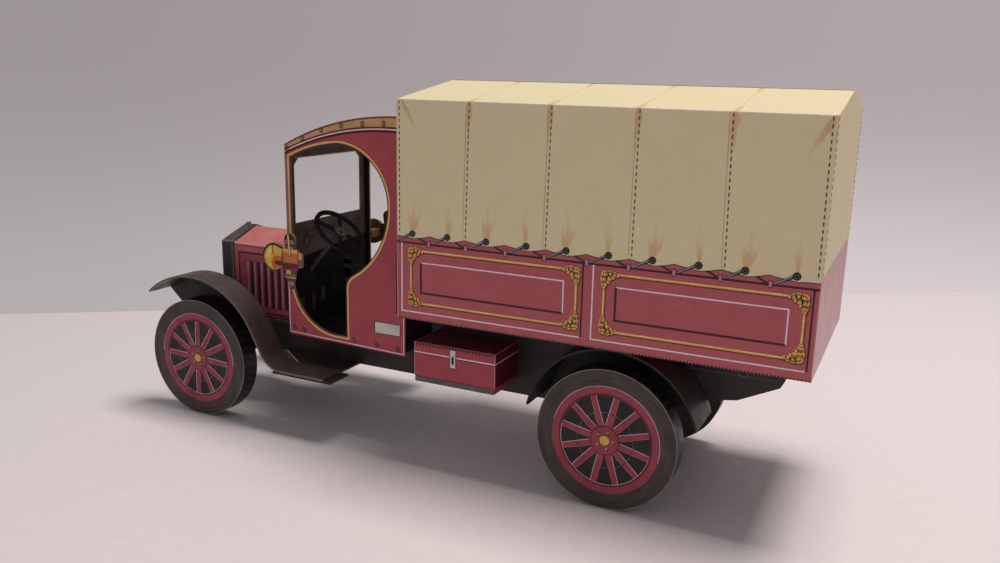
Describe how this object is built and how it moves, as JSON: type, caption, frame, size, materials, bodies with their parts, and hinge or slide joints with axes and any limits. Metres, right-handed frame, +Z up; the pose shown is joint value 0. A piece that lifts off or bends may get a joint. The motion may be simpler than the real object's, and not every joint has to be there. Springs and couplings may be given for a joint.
{
  "type": "card model of a canvas covered lorry",
  "caption": "Printed card model of an early canvas covered lorry with an open cab, long bonnet, curved wings, tool boxes and spoked wheels that turn on fixed axles.",
  "frame": {"origin": "on the ground under the centre of the overall box", "axes": "+X to the front of the lorry, +Y to its left side, +Z up"},
  "size_m": [0.2064, 0.0624, 0.1086],
  "materials": {
    "cream_card": "printed, matt with a slight sheen",
    "red_card": "printed, matt with a slight sheen",
    "tan_card": "printed, matt with a slight sheen",
    "brown_card": "printed, matt with a slight sheen",
    "black_card": "printed, matt with a slight sheen",
    "wing_card": "printed, matt with a slight sheen",
    "spring_card": "printed, matt with a slight sheen",
    "wheel_card": "printed, matt with a slight sheen",
    "axle_rod": "printed, matt with a slight sheen",
    "core_card": "printed, matt with a slight sheen",
    "cap_card": "printed, matt with a slight sheen",
    "steering_card": "printed, matt with a slight sheen",
    "lamp_card": "printed, matt with a slight sheen"
  },
  "bodies": {
    "lorry": {"bonnet": "red_card", "cab_floor": "brown_card", "cab_front_wall": "red_card", "cab_rear_wall": "red_card", "cab_roof": "tan_card", "cab_side_left": "red_card", "cab_side_right": "red_card", "canvas_cover": "cream_card", "cargo_box": "red_card", "frame_bottom": "black_card", "frame_bottom_front": "black_card", "frame_bottom_rear": "black_card", "frame_front_cross": "black_card", "frame_rear_cross": "black_card", "frame_side_left": "black_card", "frame_side_right": "black_card", "front_axle": "axle_rod", "front_spring_left": "spring_card", "front_spring_right": "spring_card", "front_wing_left": "wing_card", "front_wing_right": "wing_card", "radiator_cap": "cap_card", "radiator_core": "core_card", "radiator_shell": "black_card", "rear_axle": "axle_rod", "rear_spring_left": "spring_card", "rear_spring_right": "spring_card", "rear_wing_left": "wing_card", "rear_wing_right": "wing_card", "seat_bench": "brown_card", "side_lamp_left": "lamp_card", "side_lamp_right": "lamp_card", "steering_column": "steering_card", "steering_wheel": "steering_card", "step_layer_left": "wing_card", "step_layer_right": "wing_card", "toolbox_left": "red_card", "toolbox_right": "red_card", "wing_valance_left": "wing_card", "wing_valance_right": "wing_card"},
    "wheel_front_left": {"wheel_front_left": "wheel_card"},
    "wheel_front_right": {"wheel_front_right": "wheel_card"},
    "wheel_rear_left": {"wheel_rear_left": "wheel_card"},
    "wheel_rear_right": {"wheel_rear_right": "wheel_card"}
  },
  "joints": [
    {"name": "wheel_front_left_spin", "type": "hinge", "parent": "lorry", "child": "wheel_front_left", "pos_m": [0.0841, 0.0261, 0.0191], "axis": [0, 1, 0], "continuous": true},
    {"name": "wheel_front_right_spin", "type": "hinge", "parent": "lorry", "child": "wheel_front_right", "pos_m": [0.0841, -0.0261, 0.0191], "axis": [0, 1, 0], "continuous": true},
    {"name": "wheel_rear_left_spin", "type": "hinge", "parent": "lorry", "child": "wheel_rear_left", "pos_m": [-0.0544, 0.0261, 0.0191], "axis": [0, 1, 0], "continuous": true},
    {"name": "wheel_rear_right_spin", "type": "hinge", "parent": "lorry", "child": "wheel_rear_right", "pos_m": [-0.0544, -0.0261, 0.0191], "axis": [0, 1, 0], "continuous": true}
  ]
}
